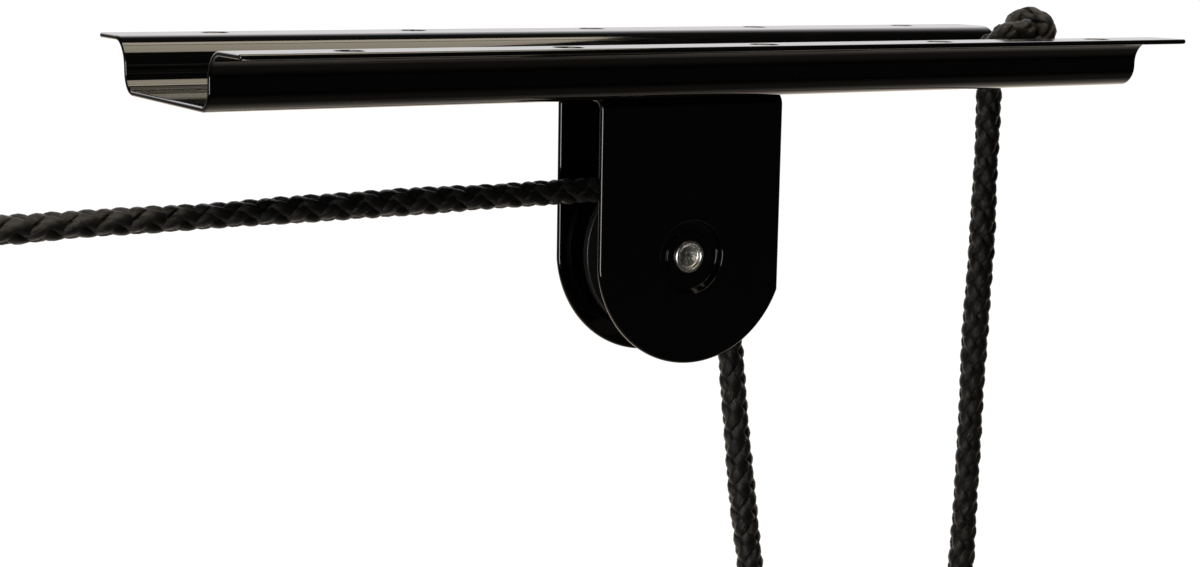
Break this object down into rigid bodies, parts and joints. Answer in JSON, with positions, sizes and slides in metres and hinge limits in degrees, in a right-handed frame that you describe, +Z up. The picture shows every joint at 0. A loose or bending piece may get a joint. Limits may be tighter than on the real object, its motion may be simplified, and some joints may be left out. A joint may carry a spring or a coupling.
{
  "type": "ceiling mounted pulley rack",
  "caption": "Glossy black hat-section ceiling rail with a pulley under its middle and a braided rope that carries a swivelling hook block.",
  "frame": {"origin": "middle of the screw hole pattern, on the top face of the flanges, which is the ceiling plane", "axes": "+X along the rail towards the end where the rope is knotted, +Y to the rear flange, +Z up into the ceiling"},
  "size_m": [0.317, 0.0874, 0.4137],
  "materials": {
    "rail_paint": "gloss black enamel on sheet steel",
    "housing_paint": "gloss black enamel on sheet steel",
    "rivet_zinc": "bright zinc plate",
    "bushing_steel": "turned steel",
    "washer_nylon": "natural nylon",
    "sheave_plastic": "moulded black nylon, satin",
    "rope": "braided charcoal polypropylene, slight sheen",
    "hook_zinc": "zinc plate",
    "hook_vinyl": "dipped black vinyl"
  },
  "bodies": {
    "root": {"ceiling_rail": "rail_paint", "pulley_housing": "housing_paint", "housing_rivets": "rivet_zinc", "axle_rivet": "rivet_zinc", "axle_bushing": "bushing_steel", "axle_washer_front": "washer_nylon", "axle_washer_rear": "washer_nylon", "rope_lead": "rope", "lead_end_knot": "rope", "rope_fall_live": "rope", "rope_fall_dead": "rope", "stopper_knot": "rope"},
    "upper_sheave": {"sheave": "sheave_plastic"},
    "hook_block": {"block_strap": "housing_paint", "block_rivet": "rivet_zinc", "block_bushing": "bushing_steel", "block_washer_front": "washer_nylon", "block_washer_rear": "washer_nylon", "rope_bight": "rope"},
    "lower_sheave": {"block_sheave": "sheave_plastic"},
    "hook": {"swivel_hook": "hook_zinc", "hook_washer": "hook_zinc", "hook_nut": "hook_zinc", "hook_sleeve": "hook_vinyl"}
  },
  "joints": [
    {"name": "lift", "type": "slide", "parent": "root", "child": "hook_block", "axis": [0, 0, 1], "range_m": [0, 0.18], "deforming": ["rope_fall_live", "rope_fall_dead"]},
    {"name": "upper_sheave_spin", "type": "hinge", "parent": "root", "child": "upper_sheave", "pos_m": [0, 0, -0.0517], "axis": [0, -1, 0], "continuous": true},
    {"name": "lower_sheave_spin", "type": "hinge", "parent": "hook_block", "child": "lower_sheave", "pos_m": [0.075, 0, -0.32], "axis": [0, 1, 0], "continuous": true},
    {"name": "hook_swivel", "type": "hinge", "parent": "hook_block", "child": "hook", "pos_m": [0.075, 0, -0.35], "axis": [0, 0, 1], "continuous": true}
  ],
  "couplings": [
    {"joint": "upper_sheave_spin", "follows": "lift", "rad_per_m": 125},
    {"joint": "lower_sheave_spin", "follows": "lift", "rad_per_m": 62.5}
  ]
}
